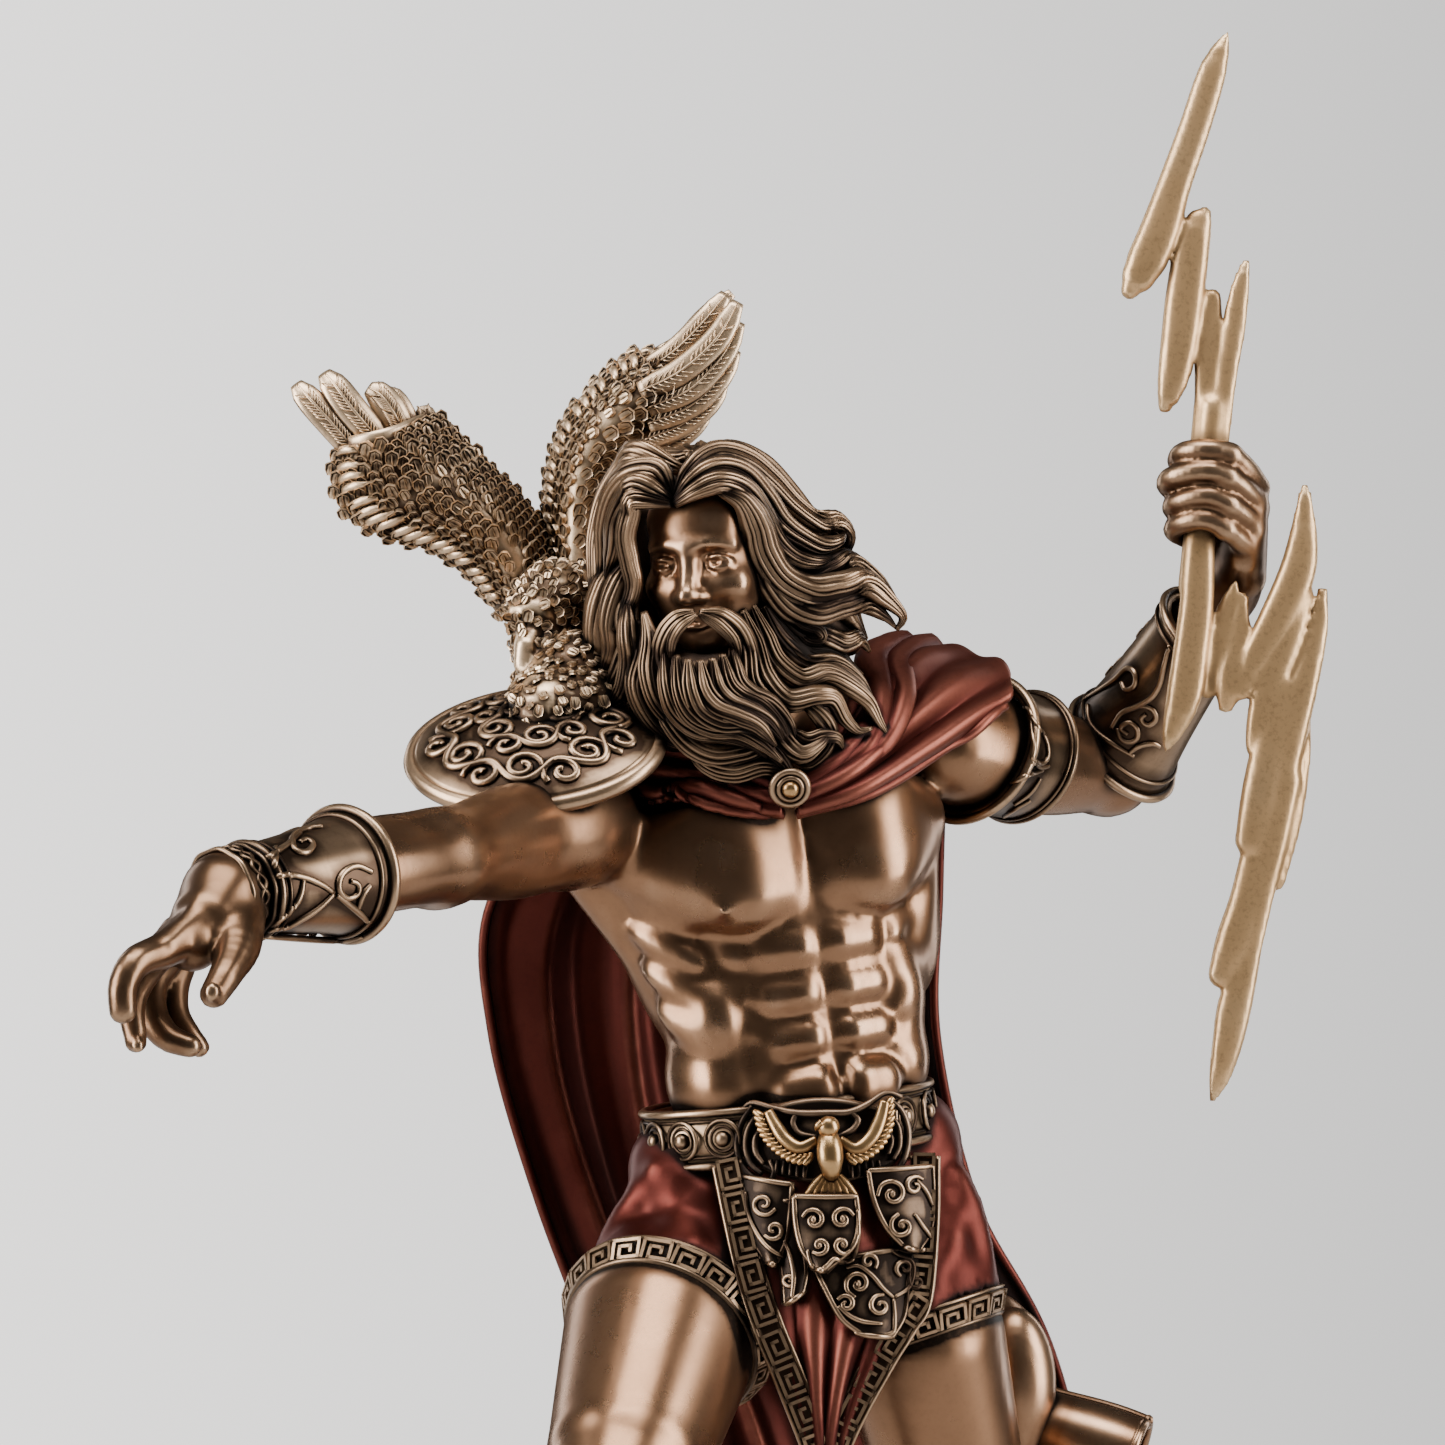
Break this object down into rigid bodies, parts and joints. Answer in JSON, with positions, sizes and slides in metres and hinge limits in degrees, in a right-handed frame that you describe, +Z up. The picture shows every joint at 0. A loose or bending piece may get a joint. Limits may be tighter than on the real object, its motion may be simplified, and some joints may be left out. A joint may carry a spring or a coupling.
{
  "type": "zeus statuette",
  "caption": "Cast bronze-finish statuette of Zeus in cape and kilt with a thunderbolt in his raised fist and an eagle on his shoulder, on a low round plinth.",
  "frame": {"origin": "centre of the plinth's underside", "axes": "+Z up, the figure's front faces -Y, +X is its left-hand side"},
  "size_m": [0.1559, 0.145, 0.3007],
  "materials": {
    "dark_bronze": "satin",
    "feather_bronze": "satin",
    "pale_brass": "satin",
    "plinth_bronze": "satin"
  },
  "bodies": {
    "root": {"figure": "dark_bronze", "eagle": "feather_bronze", "thunderbolt": "pale_brass", "plinth": "plinth_bronze"}
  },
  "joints": []
}
